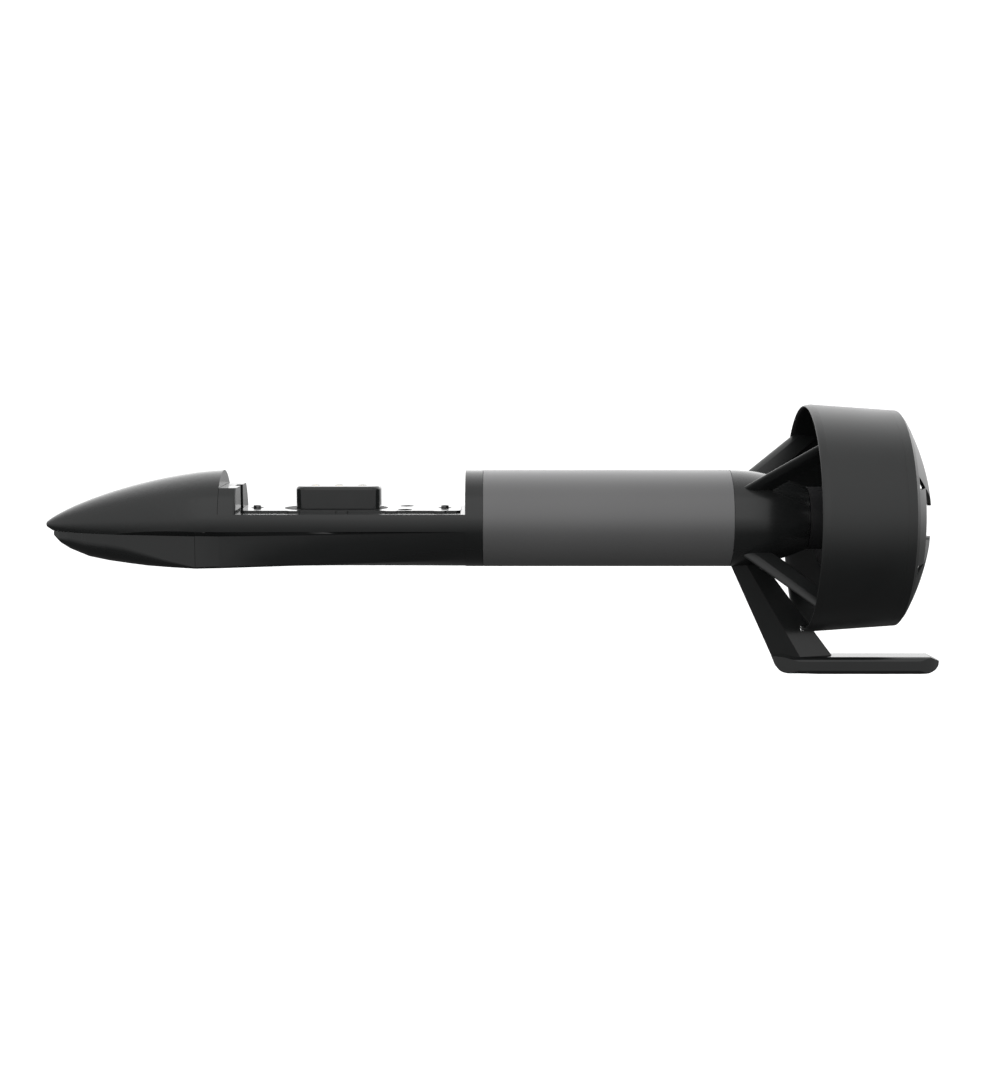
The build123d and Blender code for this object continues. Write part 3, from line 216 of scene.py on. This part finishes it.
# Struts, duct and guard: glass-filled black moulding
black_moulding = textured(
    "black_moulding", (0.011, 0.012, 0.012), (0.015, 0.016, 0.016), (0.34, 0.40), 0.6, 0.015, 45
)
propeller_moulding = textured(
    "propeller_moulding", (0.014, 0.014, 0.015), (0.020, 0.020, 0.021), (0.34, 0.42), 0.5, 0.02, 30
)
# Connector: smooth black moulding, glossier than the duct
connector_moulding = textured(
    "connector_moulding", (0.013, 0.014, 0.014), (0.017, 0.018, 0.018), (0.10, 0.15), 0.3, 0.002, 20
)
# Screws and inserts: stainless steel. The screws' colour is darkened as painted shade, for the shade that
# falls on them in their counterbores in the black body
screw_painted_shade = turned_metal(
    "screw_painted_shade", (0.10, 0.10, 0.10), (0.16, 0.16, 0.16), (0.30, 0.40), 0.2, 0.01, 6, 0.9
)
insert_metal = turned_metal(
    "insert_metal", (0.42, 0.42, 0.42), (0.5, 0.5, 0.5), (0.25, 0.35), 0.2, 0.01, 6, 1.0
)
# Shaft, bells and bearings: bare metal inside the tube
shaft_metal = turned_metal(
    "shaft_metal", (0.55, 0.55, 0.56), (0.62, 0.62, 0.63), (0.14, 0.24), 0.2, 0.006, 30, 1.0
)
bell_metal = turned_metal(
    "bell_metal", (0.55, 0.56, 0.57), (0.64, 0.65, 0.66), (0.28, 0.38), 0.25, 0.01, 30, 1.0
)
bearing_metal = turned_metal(
    "bearing_metal", (0.6, 0.6, 0.61), (0.68, 0.68, 0.69), (0.10, 0.16), 0.2, 0.004, 20, 1.0
)
magnet_metal = textured(
    "magnet_metal", (0.5, 0.5, 0.48), (0.6, 0.59, 0.57), (0.22, 0.32), 0.3, 0.01, 12, metallic=1.0
)
# Laminated cores: steel sheets stacked along X
laminated_steel = turned_metal(
    "laminated_steel", (0.14, 0.14, 0.145), (0.2, 0.2, 0.205), (0.4, 0.55), 0.5, 0.04, 25, 0.8
)
copper_wire = turned_metal(
    "copper_wire", (0.55, 0.22, 0.08), (0.70, 0.30, 0.12), (0.3, 0.4), 0.9, 0.12, 20, 0.9
)
contact_gold = turned_metal(
    "contact_gold", (0.78, 0.58, 0.22), (0.86, 0.66, 0.28), (0.16, 0.26), 0.2, 0.006, 8, 1.0
)
seal_rubber = textured("seal_rubber", (0.012, 0.012, 0.012), (0.02, 0.02, 0.02), (0.6, 0.75), 0.4, 0.03, 12)
lead_rubber = textured("lead_rubber", (0.30, 0.03, 0.02), (0.38, 0.045, 0.03), (0.5, 0.6), 0.5, 0.03, 20)

finish_of_slot = {
    "body": anodised_body,
    "seat_metal": anodised_plate,
    "tube_metal": tube_skin,
    "moulding": black_moulding,
    "screw_steel": screw_painted_shade,
    "insert_steel": insert_metal,
    "contact_metal": contact_gold,
    "rubber_black": seal_rubber,
    "lead_sheath": lead_rubber,
    "bell_metal": bell_metal,
    "core_steel": laminated_steel,
    "copper": copper_wire,
    "bearing_steel": bearing_metal,
    "magnet_metal": magnet_metal,
    "shaft_steel": shaft_metal,
    "propeller_plastic": propeller_moulding,
}
finish_of_node = {"connector_boss": connector_moulding}
slot_of_node = {entry["node"]: entry["material_slot"] for entry in frame["record"]["subparts"]}
for name, piece in nodes.items():
    for material_slot in piece.material_slots:
        material_slot.material = finish_of_node.get(name, finish_of_slot[slot_of_node[name]])

# Studio: pale floor under the unit, white above, darkness below the floor's level
low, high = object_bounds()
centre = (low + high) / 2
floor_drop = 0.60
floor_size = 60.0


def floor_material():
    """Pale matt floor with a faint grain."""
    material, tree, shader = start_material("studio_floor", specular=0.0)
    grain = place_group(tree, fine_grain, Size=3.0).outputs["Height"]
    pale = blend_colour(tree, grain, (0.95, 0.95, 0.95), (0.97, 0.97, 0.97))
    tree.links.new(pale, shader.inputs["Base Color"])
    tree.links.new(blend_value(tree, grain, 0.8, 0.9), shader.inputs["Roughness"])
    return material


def build_floor():
    """Level square under the middle of the unit. It throws no light back, so undersides stay dark."""
    half = floor_size / 2
    z = low.z - floor_drop
    signs = ((-1, -1), (1, -1), (1, 1), (-1, 1))
    corners = [(centre.x + sx * half, centre.y + sy * half, z) for sx, sy in signs]
    mesh = bpy.data.meshes.new("studio_floor")
    mesh.from_pydata(corners, [], [(0, 1, 2, 3)])
    floor = bpy.data.objects.new("studio_floor", mesh)
    bpy.context.scene.collection.objects.link(floor)
    mesh.materials.append(floor_material())
    floor.visible_diffuse = False
    floor.visible_glossy = False
    return floor


build_floor()

# Sky: white above, fading to dark below the horizon, and brightest over the backdrop,
# where the dark begins more sharply
sky_strength = 1.0
ground_level = 0.09
horizon_low = -0.50
horizon_high = 0.04
backdrop_low = -0.13
backdrop_high = -0.03
front_share = 0.88
backdrop_share = 1.15
backdrop_glow = 1.05
backdrop_start = -0.1
backdrop_full = 0.6
glow_start = -0.02
glow_full = 0.10


def ramp(tree, value, start, end):
    """Straight rise from 0 at the start to 1 at the end."""
    node = tree.nodes.new("ShaderNodeMapRange")
    tree.links.new(value, node.inputs["Value"])
    node.inputs["From Min"].default_value = start
    node.inputs["From Max"].default_value = end
    return node.outputs["Result"]


def build_world():
    """World whose brightness depends on height above the horizon and grows toward the backdrop."""
    world = bpy.data.worlds.new("studio")
    world.use_nodes = True
    tree = world.node_tree
    direction = tree.nodes.new("ShaderNodeTexCoord").outputs["Generated"]
    split = tree.nodes.new("ShaderNodeSeparateXYZ")
    tree.links.new(direction, split.inputs[0])
    toward = ramp(tree, split.outputs["Y"], backdrop_start, backdrop_full)
    front_rise = ramp(tree, split.outputs["Z"], horizon_low, horizon_high)
    back_rise = ramp(tree, split.outputs["Z"], backdrop_low, backdrop_high)
    change = maths(tree, "MULTIPLY", toward, maths(tree, "SUBTRACT", back_rise, front_rise))
    rise = maths(tree, "ADD", front_rise, change)
    height = blend_value(tree, rise, ground_level, sky_strength)
    above = ramp(tree, split.outputs["Z"], glow_start, glow_full)
    share = blend_value(tree, toward, front_share, backdrop_share)
    glow = maths(tree, "MULTIPLY", maths(tree, "MULTIPLY", toward, above), backdrop_glow)
    strength = maths(tree, "MULTIPLY", height, maths(tree, "ADD", share, glow))
    tree.links.new(strength, tree.nodes["Background"].inputs["Strength"])
    tree.nodes["Background"].inputs["Color"].default_value = (1, 1, 1, 1)
    return world


bpy.context.scene.world = build_world()


def soft_light(name, place, size, power):
    """Square area light at a place, facing the unit's middle."""
    data = bpy.data.lights.new(name, "AREA")
    data.size = size
    data.energy = power
    light = bpy.data.objects.new(name, data)
    light.location = place
    light.rotation_euler = (centre - Vector(place)).to_track_quat("-Z", "Y").to_euler()
    bpy.context.scene.collection.objects.link(light)
    return light


# Broad weak fill over the camera's shoulder
fill_forward = 2.2
fill_rise = 1.3
fill_size = 2.6
fill_power = 6
fill_place = (centre.x, centre.y - fill_forward, centre.z + fill_rise)
soft_light("front_light", fill_place, fill_size, fill_power)

# Camera at the photograph's angle: square to the unit, a little above it
camera_elevation = math.radians(6.64)
camera_place = Vector((68.2, -1240.5, 120.8)) * MM
camera_lens = 57.17
camera_sensor = 36
camera_data = bpy.data.cameras.new("photo_camera")
camera_data.lens = camera_lens
camera_data.sensor_width = camera_sensor
camera = bpy.data.objects.new("photo_camera", camera_data)
camera.location = camera_place
camera.rotation_euler = (math.pi / 2 - camera_elevation, 0, 0)
bpy.context.scene.collection.objects.link(camera)
bpy.context.scene.camera = camera
bpy.context.scene.view_settings.view_transform = "Standard"
